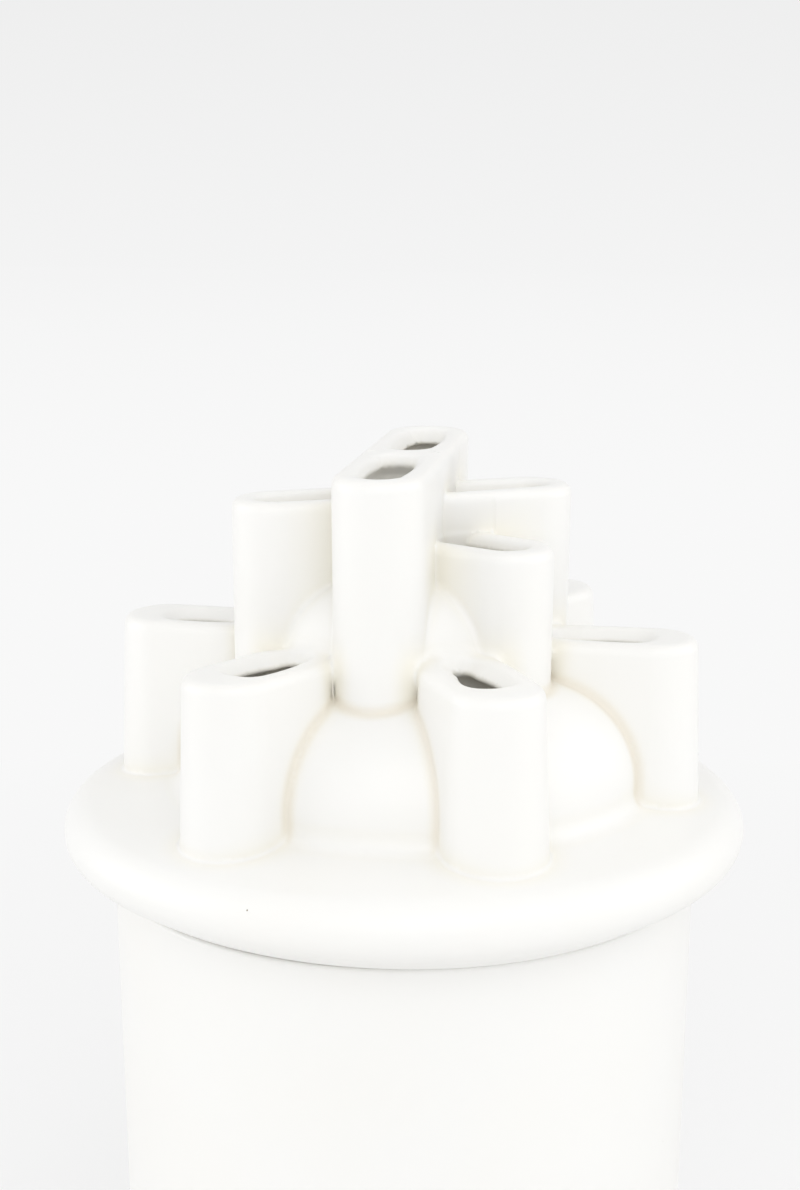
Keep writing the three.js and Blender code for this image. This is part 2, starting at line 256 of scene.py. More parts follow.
def filled_deck(r, z):
    """The deck and rim without their hollow: a wedge with a rounded nose, cut flat at the seat."""
    nose = RIM_RADIUS - RIM_NOSE
    to_nose = math.hypot(nose - SEAT_RADIUS, RIM_HEIGHT)
    underside = math.atan2(RIM_HEIGHT, nose - SEAT_RADIUS) - math.asin(RIM_NOSE / to_nose)
    above = (r - nose) * math.sin(DECK_SLOPE) + z * math.cos(DECK_SLOPE)
    below = (r - nose) * math.sin(underside) - z * math.cos(underside)
    turn = math.sin(DECK_SLOPE) * math.sin(underside) - math.cos(DECK_SLOPE) * math.cos(underside)
    round_end = (above > turn * below) & (below > turn * above)
    wedge = np.where(round_end, np.hypot(r - nose, z), np.maximum(above, below))
    return wedge - RIM_NOSE


def filled_lower_drum(x, y, z):
    """The lower drum without its hollow. It goes on below without an end."""
    r = np.hypot(x - LOWER_DRUM_SHIFT[0], y - LOWER_DRUM_SHIFT[1])
    return corner(r - LOWER_DRUM_RADIUS, z - LOWER_DRUM_TOP, LOWER_DRUM_SHOULDER)


def filled_upper_drum(r, z):
    """The upper drum without its hollow, with no end below either."""
    return corner(r - UPPER_DRUM_RADIUS, z - UPPER_DRUM_TOP, UPPER_DRUM_SHOULDER)


def tapered_bar(across, up, start, end, start_radius, end_radius):
    """A bar with round ends of two sizes, in section."""
    length = math.dist(start, end)
    direction = ((end[0] - start[0]) / length, (end[1] - start[1]) / length)
    away_across, away_up = across - start[0], up - start[1]
    along = away_across * direction[0] + away_up * direction[1]
    beside = np.abs(away_across * direction[1] - away_up * direction[0])
    slant = (start_radius - end_radius) / length
    upright = math.sqrt(1 - slant * slant)
    place = along * upright - beside * slant
    at_start = np.hypot(beside, along) - start_radius
    at_end = np.hypot(beside, along - length) - end_radius
    between = along * slant + beside * upright - start_radius
    return np.where(place < 0, at_start, np.where(place > upright * length, at_end, between))


def tube_place(tube, x, y):
    """Where a point lies along a tube and across it, seen from above."""
    along = x * math.cos(tube.turn) + y * math.sin(tube.turn)
    across = y * math.cos(tube.turn) - x * math.sin(tube.turn)
    return along, across


def tube_side(tube, x, y, z):
    """How far a point lies outside a tube's outer face."""
    return shifted_side(tube, x, y, z, 0)


def shifted_side(tube, x, y, z, shift):
    """The same, with the tube shifted along the way that it points."""
    along, across = tube_place(tube, x, y)
    nearest = np.clip(along, tube.start + shift, tube.end + shift)
    return np.hypot(along - nearest, across) - SPOUT_RADIUS - tube.flare * (tube.lip - z)


def above_lip(tube, x, y, z):
    """How far a point lies above a tube's lip, which may tilt."""
    return z - tube.lip - tube.tilt * tube_place(tube, x, y)[0]


def filled_tube(tube, x, y, z, bottom):
    """A tube with a rounded top edge and a flat bottom, without its hollow."""
    side, up = tube_side(tube, x, y, z), above_lip(tube, x, y, z)
    return np.maximum(corner(side, up, LIP_RADIUS), bottom - z)


def hollow(tube, x, y, z, bottom):
    """The space inside a tube: as wide as its bore, and narrower inside the rolled lip."""
    side, up = tube_side(tube, x, y, z), above_lip(tube, x, y, z)
    middle, half = (tube.start + tube.end) / 2, (tube.end - tube.start) / 2
    towards_end = np.clip((tube_place(tube, x, y)[0] - middle) / half, -1, 1)
    shifted = shifted_side(tube, x, y, z, tube.shift) if tube.shift else side
    mouth_side = side + (shifted - side) * soft_step(-side, 0, SHIFT_DEPTH)
    lip_side = mouth_side / (1 + LIP_PINCH * towards_end * towards_end)
    bead = (-LIP_RADIUS, -LIP_RADIUS)
    edge = (LIP_EDGE - tube.reach, -tube.fall - LIP_EDGE)
    lip = tapered_bar(lip_side, up, bead, edge, LIP_RADIUS, LIP_EDGE)
    wall = np.maximum(-SPOUT_WALL - side, up + LIP_RADIUS)
    top = np.maximum(-LIP_RADIUS - lip_side, up)
    clay = np.minimum(union(wall, lip, LIP_SINK), top)
    return np.maximum(np.maximum(-clay, side), bottom - z)


def window(tube, x, y, z, bottom):
    """The opening from a low spout, under its lip, into the upper drum."""
    along, across = tube_place(tube, x, y)
    height = np.maximum(z - tube.lip + WINDOW_DEPTH, bottom - z)
    length = np.maximum(THROAT_RADIUS - along, along - tube.start - WINDOW_REACH)
    slot = np.maximum(np.maximum(np.abs(across) - WINDOW_WIDTH / 2, height), length)
    in_clay = np.minimum(tube_side(tube, x, y, z), np.hypot(x, y) - UPPER_DRUM_RADIUS) + WINDOW_WALL
    return np.maximum(slot, in_clay)


def tall_hollows(x, y, z, bottom):
    """The two mouths of the tall pair, with a wall between them that slopes down into both."""
    near_end = DIVIDER / 2 + SPOUT_BORE
    halves = [
        Tube(TALL_TURN, near_end, UPPER_SPOUT_END, TALL_LIP, *TALL_REAR_SHAPE),
        Tube(TALL_TURN, -UPPER_SPOUT_END, -near_end, TALL_LIP, *TALL_LIP_SHAPE),
    ]
    return np.minimum(*[hollow(half, x, y, z, bottom) for half in halves])


def upper_outside(x, y, z, r, bottom):
    """The upper drum and the three crossing pairs, filled."""
    shape = filled_upper_drum(r, z)
    for pair in UPPER_PAIRS:
        shape = union(shape, filled_tube(pair, x, y, z, bottom), TUBE_BLEND)
    return shape


def upper_inside(x, y, z, r, bottom):
    """The upper drum's hollow, and the tubes' hollows with the holes that join them to it."""
    drum = filled_upper_drum(r, z)
    tall_side = tube_side(TALL_PAIR, x, y, z)
    middle_side = tube_side(MIDDLE_PAIR, x, y, z)
    tall = tall_hollows(x, y, z, bottom)
    middle = np.maximum(hollow(MIDDLE_PAIR, x, y, z, bottom), -tall_side)
    low = np.maximum(hollow(LOW_PAIR, x, y, z, bottom), np.maximum(-tall_side, -middle_side))
    tubes = np.minimum(tall, np.minimum(middle, low))
    tubes = np.maximum(tubes, np.minimum(-drum, r - THROAT_RADIUS))
    return np.minimum(drum + DRUM_WALL, tubes)


def upper_part(x, y, z, r, lower_drum):
    """The clay of the upper drum and the crossing pairs, and the same without its hollows."""
    bottom = LOWER_DRUM_TOP - LOWER_DRUM_SHOULDER
    outside = upper_outside(x, y, z, r, bottom)
    clay = cut(outside, upper_inside(x, y, z, r, bottom), MOUTH_BLEND)
    return np.maximum(clay, -(lower_drum + TRIM)), outside


def lower_part(x, y, z, r, lower_drum, upper_filled):
    """The clay of the deck, the lower drum and the low spouts, and the same without its hollows."""
    deck = filled_deck(r, z)
    outside = union(deck, lower_drum, DECK_BLEND)
    under_deck = np.maximum(deck + DECK_THICKNESS, np.minimum(SEAT + DECK_THICKNESS - z, r - SEAT_HOLE))
    inside = union(under_deck, lower_drum + DRUM_WALL, HIDDEN_BLEND)
    throat = np.maximum(r - THROAT_RADIUS, LOWER_DRUM_TOP - 2 * DRUM_WALL - z)
    inside = np.minimum(inside, throat)
    softness = SPOUT_BLEND + (SPOUT_FOOT_BLEND - SPOUT_BLEND) * soft_step(z, SPOUT_FOOT_RISE, 0)
    for spout in LOWER_SPOUTS:
        tube = filled_tube(spout, x, y, z, DECK_THICKNESS)
        outside = union(outside, np.maximum(tube, -(upper_filled + TRIM)), softness)
        inside = np.minimum(inside, hollow(spout, x, y, z, BORE_BOTTOM))
    clay = cut(outside, inside, MOUTH_BLEND)
    return cut(clay, z - SEAT, SEAT_EDGE), outside


def cover_fields(x, y, z):
    """How far a point lies outside the cover's clay, and outside the cover without its hollows."""
    r = np.hypot(x, y)
    lower_drum = filled_lower_drum(x, y, z)
    upper, upper_filled = upper_part(x, y, z, r, lower_drum)
    lower, lower_filled = lower_part(x, y, z, r, lower_drum, upper_filled)
    above_drum = soft_step(z - LOWER_DRUM_TOP, *UPPER_BLEND_RISE)
    clay = union(lower, upper, SPOUT_BLEND + (UPPER_BLEND - SPOUT_BLEND) * above_drum)
    for spout in LOWER_SPOUTS:
        clay = cut(clay, window(spout, x, y, z, LOWER_DRUM_TOP), MOUTH_BLEND)
    return clay, np.minimum(lower_filled, upper_filled)


def creases(points):
    """1 where the tubes and spouts meet the lower drum on the outside, 0 away from there: the mask of
    the painted shade, with the pooled glaze's tint, in those creases.
    """
    x, y, z = points.T
    drum = filled_lower_drum(x, y, z)
    tubes = [filled_tube(tube, x, y, z, DECK_THICKNESS) for tube in (*LOWER_SPOUTS, *UPPER_PAIRS)]
    nearest = np.min(tubes, axis=0)
    outside = soft_step(np.minimum(nearest, drum), *CREASE_DEPTH)
    close = soft_step(np.maximum(nearest, drum), CREASE_REACH, 0)
    return outside * close * soft_step(z, *CREASE_RISE)


def hand_waves(x, y, z):
    """The slow unevenness of clay that was rolled and pressed by hand."""
    short, medium, long = WAVE_LENGTHS
    medium_start, short_start, long_start = WAVE_STARTS
    return WAVE_DEPTH * (
        np.sin(x / short + z / long) * np.sin(y / medium + medium_start)
        + np.sin(y / short - z / medium + short_start) * np.sin(x / long + long_start)
    )


def cover_field(x, y, z):
    """The cover's clay with its unevenness, as the skin is cut out."""
    return cover_fields(x, y, z)[0] + hand_waves(x, y, z)


def bareness(points):
    """1 where the clay inside is left unglazed, 0 where it is glazed."""
    x, y, z = points.T
    filled = cover_fields(x, y, z)[1]
    from_mouth = np.full(len(points), np.inf)
    for tube in (*UPPER_PAIRS, *LOWER_SPOUTS):
        beside = np.maximum(tube_side(tube, x, y, z) + SPOUT_WALL, 0)
        from_mouth = np.minimum(from_mouth, np.hypot(beside, tube.lip - z))
    deep = soft_step(from_mouth, GLAZE_DEPTH, GLAZE_DEPTH + GLAZE_FADE)
    return deep * soft_step(-filled, *INSIDE_DEPTH)


def bend(field, points):
    """How strongly the surface bends: above 0 at edges, below 0 in creases."""
    x, y, z = points.T
    middle = field(x, y, z)
    total = np.zeros(len(points))
    for axis in range(3):
        shift = np.zeros(3)
        shift[axis] = BEND_REACH
        total += field(*(points + shift).T) + field(*(points - shift).T) - 2 * middle
    return np.clip(total / BEND_REACH, -1, 1)


def gradient(field, points, step):
    """Which way a field grows at each point, and how fast."""
    result = np.empty_like(points)
    for axis in range(3):
        shift = np.zeros(3)
        shift[axis] = step
        ahead = field(*(points + shift).T)
        behind = field(*(points - shift).T)
        result[:, axis] = (ahead - behind) / (2 * step)
    return result


def settle(field, points, reach):
    """Moves points onto the surface where a field is zero, by no more than a reach each round."""
    for _ in range(SETTLE_ROUNDS):
        slope = gradient(field, points, GRADIENT_STEP)
        steepness = np.maximum((slope * slope).sum(1), LEAST_STEEPNESS)
        move = np.clip(field(*points.T) / steepness, -reach, reach)
        points = points - slope * move[:, None]
    return points


def crossing_points(values, axes, cells):
    """For each cell, the middle of the places where its edges cross the surface."""
    total = np.zeros((len(cells), 3))
    count = np.zeros(len(cells))
    for axis in range(3):
        others = [a for a in range(3) if a != axis]
        for offsets in itertools.product((0, 1), repeat=2):
            start = cells.copy()
            start[:, others] += offsets
            end = start.copy()
            end[:, axis] += 1
            first = values[tuple(start.T)]
            second = values[tuple(end.T)]
            crossed = (first < 0) != (second < 0)
            share = first[crossed] / (first[crossed] - second[crossed])
            low = np.stack([axes[a][start[crossed, a]] for a in range(3)], 1)
            high = np.stack([axes[a][end[crossed, a]] for a in range(3)], 1)
            total[crossed] += low + (high - low) * share[:, None]
            count[crossed] += 1
    return total / count[:, None]


def surface_faces(inside, cell_number):
    """A four-sided face for each grid edge that the surface crosses."""
    faces = []
    for axis in range(3):
        u, v = (axis + 1) % 3, (axis + 2) % 3
        lower = [slice(None)] * 3
        upper = [slice(None)] * 3
        lower[axis], upper[axis] = slice(None, -1), slice(1, None)
        first, second = inside[tuple(lower)], inside[tuple(upper)]
        nodes = np.argwhere(first != second)
        step_u, step_v = np.zeros(3, int), np.zeros(3, int)
        step_u[u], step_v[v] = 1, 1
        ring = [nodes - step_u - step_v, nodes - step_v, nodes, nodes - step_u]
        face = np.stack([cell_number[tuple(cells.T)] for cells in ring], 1)
        outwards = first[tuple(nodes.T)]
        face[~outwards] = face[~outwards][:, ::-1]
        faces.append(face)
    return np.concatenate(faces)


def cut_out(field, low, high, cell):
    """The surface where a field is zero, as points and four-sided faces."""
    axes = [np.arange(a, b + cell, cell, dtype=np.float32) for a, b in zip(low, high)]
    x, y, z = np.ix_(*axes)
    values = field(x, y, z)
    inside = values < 0
    shape = [n - 1 for n in values.shape]
    corners = np.zeros(shape, np.int8)
    for i, j, k in itertools.product((0, 1), repeat=3):
        corners += inside[i : i + shape[0], j : j + shape[1], k : k + shape[2]]
    mixed = (corners > 0) & (corners < CELL_CORNERS)
    cells = np.argwhere(mixed)
    cell_number = np.full(shape, -1, np.int64)
    cell_number[mixed] = np.arange(len(cells))
    points = crossing_points(values, axes, cells)
    return settle(field, points, cell / 2), surface_faces(inside, cell_number)


def make_mesh(name, points, faces):
    """A smooth-shaded object, from points in millimetres."""
    mesh = bpy.data.meshes.new(name)
    mesh.from_pydata(points * MILLIMETRE, [], faces)
    mesh.shade_smooth()
    piece = bpy.data.objects.new(name, mesh)
    bpy.context.scene.collection.objects.link(piece)
    return piece


def recess(field, points, normals):
    """How sheltered a point of the surface is: 0 in the open, towards 1 deep in a crease."""
    room = np.zeros(len(points))
    for distance in RECESS_REACHES:
        x, y, z = (points + normals * distance).T
        room += np.clip(field(x, y, z) / distance, 0, 1)
    return 1 - room / len(RECESS_REACHES)


def even_out(piece, sharp):
    """Halves the edges between sharp points, so that a lip's bend has enough faces, and evens them."""
    shape = bmesh.new()
    shape.from_mesh(piece.data)
    shape.verts.ensure_lookup_table()
    edges = [edge for edge in shape.edges if all(sharp[vertex.index] for vertex in edge.verts)]
    bmesh.ops.subdivide_edges(shape, edges=edges, cuts=1, use_grid_fill=True)
    for _ in range(SMOOTH_ROUNDS):
        bmesh.ops.smooth_vert(
            shape,
            verts=shape.verts,
            factor=SMOOTH_SHARE,
            use_axis_x=True,
            use_axis_y=True,
            use_axis_z=True,
        )
    many_sided = [face for face in shape.faces if len(face.verts) > MOST_SIDES]
    bmesh.ops.triangulate(shape, faces=many_sided, ngon_method="BEAUTY")
    shape.to_mesh(piece.data)
    shape.free()


def mesh_points(mesh):
    """A mesh's points, in millimetres."""
    points = np.empty(len(mesh.vertices) * 3)
    mesh.vertices.foreach_get("co", points)
    return points.reshape(-1, 3) / MILLIMETRE


def store(mesh, name, values):
    """Keeps a value for each point, for the material to read."""
    layer = mesh.attributes.new(name, "FLOAT", "POINT")
    layer.data.foreach_set("value", values.astype(np.float32))


def make_cover():
    """The cover's glazed skin, with what its material needs to know at each point."""
    low = [-RIM_RADIUS - GRID_MARGIN, -RIM_RADIUS - GRID_MARGIN, SEAT - GRID_MARGIN]
    high = [RIM_RADIUS + GRID_MARGIN, RIM_RADIUS + GRID_MARGIN, TALL_LIP + GRID_MARGIN]
    points, faces = cut_out(cover_field, low, high, CELL)
    piece = make_mesh("cover_skin", points, faces.tolist())
    even_out(piece, np.abs(bend(cover_field, points)) > SHARP_BEND)
    mesh = piece.data
    points = settle(cover_field, mesh_points(mesh), CELL / 2)
    normals = gradient(cover_field, points, GRADIENT_STEP)
    normals /= np.linalg.norm(normals, axis=1)[:, None]
    store(mesh, "bare", bareness(points))
    store(mesh, "bend", bend(cover_field, points))
    # the recess masks the painted shade in sheltered hollows of the glaze's colour
    store(mesh, "recess", recess(cover_field, points, normals))
    # the crease masks painted shade, with pooled glaze, along the joints with the lower drum
    store(mesh, "crease", creases(points))
    points[:, 2] += RIM_PLANE
    mesh.vertices.foreach_set("co", (points * MILLIMETRE).ravel())
    mesh.shade_smooth()
    mesh.update()
    mesh.normals_split_custom_set_from_vertices(normals)
    return piece


# The container, the foot and the flange are turned
TURN_STEPS = 256  # faces round the axis
SIDE_STEP = 4.0  # the longest step of an outline
CONTAINER_WALL = 6.0
CONTAINER_RADIUS = WALL_HIGH[0]
CONTAINER_TOP = WALL_HIGH[2]
CONTAINER_BOTTOM = WALL_LOW[2]
CONTAINER_TAPER = 2.8  # how much slimmer it is at its base than at its mouth
BASE_ROUNDING = 5.0
INNER_ROUNDING = 9.0
ROUNDING_STEPS = 8
MOUTH_ROUNDING = 1.6
MOUTH_STEPS = 5
FOOT_WIDTH = 10.0
FLANGE_WIDTH = 6.0
CLAY_EDGE = 1.0  # how far the edges of the bare rings are rounded
EDGE_STEPS = 3


def arc(centre, radius, start, end, steps):
    """Points on an arc, as radius and height, between two angles in degrees."""
    angles = np.radians(np.linspace(start, end, steps + 1))
    return [(centre[0] + radius * math.cos(a), centre[1] + radius * math.sin(a)) for a in angles]


def refine(outline, longest):
    """The same outline with no step longer than the given length."""
    result = [outline[0]]
    for start, end in zip(outline, outline[1:]):
        pieces = max(1, math.ceil(math.dist(start, end) / longest))
        for i in range(1, pieces + 1):
            share = i / pieces
            result.append(tuple(a + (b - a) * share for a, b in zip(start, end)))
    return result


def turned(name, outline, closed):
    """A surface turned about the axis. An outline that isn't closed starts and ends on the axis."""
    outline = np.array(outline)
    ring = outline if closed else outline[1:-1]
    angles = np.linspace(0, 2 * math.pi, TURN_STEPS, endpoint=False)
    radius, height = ring[:, :1], np.broadcast_to(ring[:, 1:], (len(ring), TURN_STEPS))
    points = np.stack([radius * np.cos(angles), radius * np.sin(angles), height], 2).reshape(-1, 3)
    column = np.arange(TURN_STEPS)
    following = (column + 1) % TURN_STEPS
    faces = []
    for row in range(len(ring) if closed else len(ring) - 1):
        here, above = row * TURN_STEPS, (row + 1) % len(ring) * TURN_STEPS
        sides = [here + column, here + following, above + following, above + column]
        faces += np.stack(sides, 1).tolist()
    if not closed:
        first, last = len(points), len(points) + 1
        points = np.vstack([points, [0, 0, outline[0][1]], [0, 0, outline[-1][1]]])
        top = (len(ring) - 1) * TURN_STEPS
        faces += [[first, b, a] for a, b in zip(column.tolist(), following.tolist())]
        faces += [[last, top + a, top + b] for a, b in zip(column.tolist(), following.tolist())]
    return make_mesh(name, points, faces)


def make_container():
    """The container's side and floor as one glazed skin."""
    base = CONTAINER_RADIUS - CONTAINER_TAPER
    floor = FLOOR_HIGH[2]
    lip_height = CONTAINER_TOP - MOUTH_ROUNDING
    outer_base = (base - BASE_ROUNDING, CONTAINER_BOTTOM + BASE_ROUNDING)
    outer_mouth = (CONTAINER_RADIUS - MOUTH_ROUNDING, lip_height)
    inner_mouth = (CONTAINER_RADIUS - CONTAINER_WALL + MOUTH_ROUNDING, lip_height)
    inner_base = (base - CONTAINER_WALL - INNER_ROUNDING, floor + INNER_ROUNDING)
    outline = [
        (0, CONTAINER_BOTTOM),
        *arc(outer_base, BASE_ROUNDING, -90, 0, ROUNDING_STEPS),
        *arc(outer_mouth, MOUTH_ROUNDING, 0, 90, MOUTH_STEPS),
        *arc(inner_mouth, MOUTH_ROUNDING, 90, 180, MOUTH_STEPS),
        *arc(inner_base, INNER_ROUNDING, 0, -90, ROUNDING_STEPS),
        (0, floor),
    ]
    return turned("container_skin", refine(outline, SIDE_STEP), closed=False)


def make_ring(name, low, high, width):
    """A plain ring of bare clay with eased edges, in the box of its CAD node."""
    outer = high[0] - CLAY_EDGE
    inner = high[0] - width + CLAY_EDGE
    bottom, top = low[2] + CLAY_EDGE, high[2] - CLAY_EDGE
    corners = [((outer, bottom), -90), ((outer, top), 0), ((inner, top), 90), ((inner, bottom), 180)]
    outline = []
    for centre, start in corners:
        outline += arc(centre, CLAY_EDGE, start, start + 90, EDGE_STEPS)
    return turned(name, refine(outline, SIDE_STEP), closed=True)


# Colours as red, green and blue in linear light
GLAZE_WHITE = (0.9, 0.897, 0.88)
GLAZE_SOFT = (0.9, 0.893, 0.868)
# painted shade: the creamier, darker white that sheltered hollows take on
GLAZE_SHADE_CREAM = (0.9, 0.88, 0.81)
GLAZE_THIN = (0.87, 0.835, 0.76)
# painted shade in the creases by the lower drum, darker and warmer, with the tint of glaze that pools
# there
CREASE_SHADE_AND_POOL = (0.83, 0.785, 0.69)
CLAY_BUFF = (0.74, 0.67, 0.56)
CLAY_SHADE = (0.70, 0.63, 0.52)
CLAY_DARK = (0.60, 0.53, 0.42)
INSIDE_CLAY = (0.70, 0.63, 0.51)
SPECK_BROWN = (0.24, 0.18, 0.11)

# Sizes of the surface detail, in metres
CLOUD_SIZE = 0.055
GLOSS_CLOUD_SIZE = CLOUD_SIZE / 3
RIPPLE_SIZE = 0.016
RIPPLE_DEPTH = 0.00005
GRAIN_SIZE = 0.0006
GRAIN_DEPTH = 0.00006
SPECK_SPACING = 0.021
SPECK_RADIUS = 0.00035
SPECK_DEPTH = 0.0001

# How much of a speck is as dark as its middle, and how many places for a speck stay empty
SPECK_CORE = 0.5
SPECKS_LEFT_OUT = 0.55

# The parts of a noise that clouds and grain are spread over
GLAZE_CLOUDS = (0.3, 0.7)
CLAY_CLOUDS = (0.35, 0.65)
CLAY_GRAIN = (0.3, 0.7)
DARK_GRAIN = (0.5, 0.8)
DARK_GRAIN_SHARE = 0.5

# Where the glaze is thin over an edge, and where painted shade makes a sheltered hollow creamier and
# darker
THIN_BENDS = (0.4, 1.0)
THIN_SHARE = 0.25
SHADED_RECESSES = (0.25, 0.85)

# Roughness of the glaze and the clay, from their smoothest to their roughest places
GLAZE_ROUGHNESS = (0.3, 0.38)
CLAY_ROUGHNESS = (0.78, 0.92)
INSIDE_ROUGHER = 0.55  # how much rougher than the glaze the bare inside is


class Nodes:
    """Short ways to add and link a material's nodes."""

    def __init__(self, tree):
        self.tree = tree

    def add(self, kind, **inputs):
        """A new node with its inputs fed. An underscore stands for a space in an input's name."""
        node = self.tree.nodes.new("ShaderNode" + kind)
        for name, value in inputs.items():
            self.feed(node, name.replace("_", " "), value)
        return node

    def feed(self, node, name, value):
        """Links an input to another node's output, or sets it to a value."""
        socket = node.inputs[name]
        if isinstance(value, bpy.types.NodeSocket):
            self.tree.links.new(value, socket)
        elif isinstance(value, tuple) and len(value) == 3 and socket.type == "RGBA":
            socket.default_value = (*value, 1)
        else:
            socket.default_value = value

    def place(self):
        """Where a point lies on the object, in metres."""
        return self.add("TexCoord").outputs["Object"]

    def noise(self, size, detail=2.0):
        """Soft spots of a size in metres."""
        node = self.add("TexNoise", Vector=self.place(), Scale=1 / size, Detail=detail)
        return node.outputs["Fac"]

    def attribute(self, name):
        """A value that the mesh keeps for each point."""
        node = self.add("Attribute")
        node.attribute_name = name
        return node.outputs["Fac"]

    def remap(self, value, low, high, to_low=0.0, to_high=1.0):
        """A value moved from one range to another, and kept inside it."""
        ends = {"From_Min": low, "From_Max": high, "To_Min": to_low, "To_Max": to_high}
        return self.add("MapRange", Value=value, **ends).outputs["Result"]

    def calculate(self, operation, first, second):
        node = self.add("Math")
        node.operation = operation
        self.feed(node, 0, first)
        self.feed(node, 1, second)
        return node.outputs[0]

    def blend(self, share, first, second):
        node = self.add("MixRGB", Fac=share, Color1=first, Color2=second)
        return node.outputs["Color"]

    def bump(self, height, depth, onto=None):
        """A bump of a real depth in metres."""
        node = self.add("Bump", Height=height, Distance=depth)
        if onto is not None:
            self.feed(node, "Normal", onto)
        return node.outputs["Normal"]


def new_material(name):
    """A material, the ways to add its nodes, and its shader."""
    material = bpy.data.materials.new(name)
    material.use_nodes = True
    return material, Nodes(material.node_tree), material.node_tree.nodes["Principled BSDF"]


def specks(nodes):
    """Pinholes in the glaze: 1 in each small dark dot, few and far between."""
    cells = nodes.add("TexVoronoi", Vector=nodes.place(), Scale=1 / SPECK_SPACING)
    size = SPECK_RADIUS / SPECK_SPACING
    dot = nodes.remap(cells.outputs["Distance"], size, size * SPECK_CORE)
    pick = nodes.add("SeparateColor", Color=cells.outputs["Color"])
    kept = nodes.calculate("GREATER_THAN", pick.outputs["Red"], SPECKS_LEFT_OUT)
    return nodes.calculate("MULTIPLY", dot, kept)


def glaze_colour(nodes, speck):
    """White in two tones, less white over edges, with painted shade: creamier in sheltered hollows,
    darker and warmer in creases, where the glaze also pools. Brown in specks.
    """
    clouds = nodes.remap(nodes.noise(CLOUD_SIZE, detail=1.0), *GLAZE_CLOUDS)
    thin = nodes.remap(nodes.attribute("bend"), *THIN_BENDS, 0.0, THIN_SHARE)
    recess_shade = nodes.remap(nodes.attribute("recess"), *SHADED_RECESSES)
    colour = nodes.blend(clouds, GLAZE_WHITE, GLAZE_SOFT)
    colour = nodes.blend(thin, colour, GLAZE_THIN)
    # painted shade in sheltered hollows
    colour = nodes.blend(recess_shade, colour, GLAZE_SHADE_CREAM)
    # painted shade along the creases, with the pooled glaze's tint
    colour = nodes.blend(nodes.attribute("crease"), colour, CREASE_SHADE_AND_POOL)
    return nodes.blend(speck, colour, SPECK_BROWN)


def glaze_material():
    """Warm white glaze: soft gloss and a faint ripple, with bare clay deep inside the mouths."""
    material, nodes, shader = new_material("soft_gloss_glaze")
    bare = nodes.attribute("bare")
    speck = specks(nodes)
    inside = nodes.blend(nodes.noise(GRAIN_SIZE, detail=4.0), INSIDE_CLAY, CLAY_DARK)
    nodes.feed(shader, "Base Color", nodes.blend(bare, glaze_colour(nodes, speck), inside))
    gloss = nodes.remap(nodes.noise(GLOSS_CLOUD_SIZE), *GLAZE_CLOUDS, *GLAZE_ROUGHNESS)
    rougher = nodes.calculate("MULTIPLY", bare, INSIDE_ROUGHER)
    nodes.feed(shader, "Roughness", nodes.calculate("ADD", gloss, rougher))
    ripple = nodes.bump(nodes.noise(RIPPLE_SIZE, detail=0.0), RIPPLE_DEPTH)
    dents = nodes.bump(nodes.calculate("MULTIPLY", speck, -1.0), SPECK_DEPTH, ripple)
    nodes.feed(shader, "Normal", dents)
    return material


def clay_material():
    """Pale buff stoneware that was never glazed, with a fine grain."""
    material, nodes, shader = new_material("unglazed_clay")
    clouds = nodes.remap(nodes.noise(CLOUD_SIZE), *CLAY_CLOUDS)
    grain = nodes.noise(GRAIN_SIZE, detail=4.0)
    dark = nodes.remap(grain, *DARK_GRAIN, 0.0, DARK_GRAIN_SHARE)
    colour = nodes.blend(clouds, CLAY_BUFF, CLAY_SHADE)
    nodes.feed(shader, "Base Color", nodes.blend(dark, colour, CLAY_DARK))
    nodes.feed(shader, "Roughness", nodes.remap(grain, *CLAY_GRAIN, *CLAY_ROUGHNESS))
    nodes.feed(shader, "Normal", nodes.bump(grain, GRAIN_DEPTH))
    return material


# The photograph's camera: where it stands and how it looks
CAMERA_TURN = math.radians(11.2)
CAMERA_DISTANCE = 756.5
CAMERA_ASIDE = -1.5
CAMERA_ABOVE_RIM = 255.0
CAMERA_HEIGHT = RIM_PLANE + CAMERA_ABOVE_RIM
CAMERA_PITCH = math.radians(12.76)
CAMERA_FOCUS = 2131.8  # in pixels of the photograph
PHOTO_HEIGHT = 1190
SENSOR = 36.0
FARTHEST_SEEN = 100.0  # in metres


def make_camera():
    """The camera that was fitted to the photograph."""
    data = bpy.data.cameras.new("camera")
    data.sensor_width = SENSOR
    data.lens = CAMERA_FOCUS / PHOTO_HEIGHT * SENSOR
    data.clip_end = FARTHEST_SEEN
    camera = bpy.data.objects.new("camera", data)
    bpy.context.scene.collection.objects.link(camera)
    spot = Vector((CAMERA_ASIDE, -CAMERA_DISTANCE, CAMERA_HEIGHT)) * MILLIMETRE
    camera.location = Matrix.Rotation(CAMERA_TURN, 3, "Z") @ spot
    camera.rotation_euler = (math.pi / 2 - CAMERA_PITCH, 0, CAMERA_TURN)
    bpy.context.scene.camera = camera


# Soft lamps: name, degrees round from the camera, degrees up, watts. Their sizes are in metres.
LAMPS = [
    ("left_lamp", -90, 12, 6.9),
    ("front_lamp", 0, 28, 4.9),
    ("high_lamp", 30, 45, 3.2),
    ("right_lamp", 90, 22, 4.9),
]
LAMP_SIZE = 1.5
LAMP_DISTANCE = 1.8
LAMP_AIM = Vector((0, 0, 0.25))


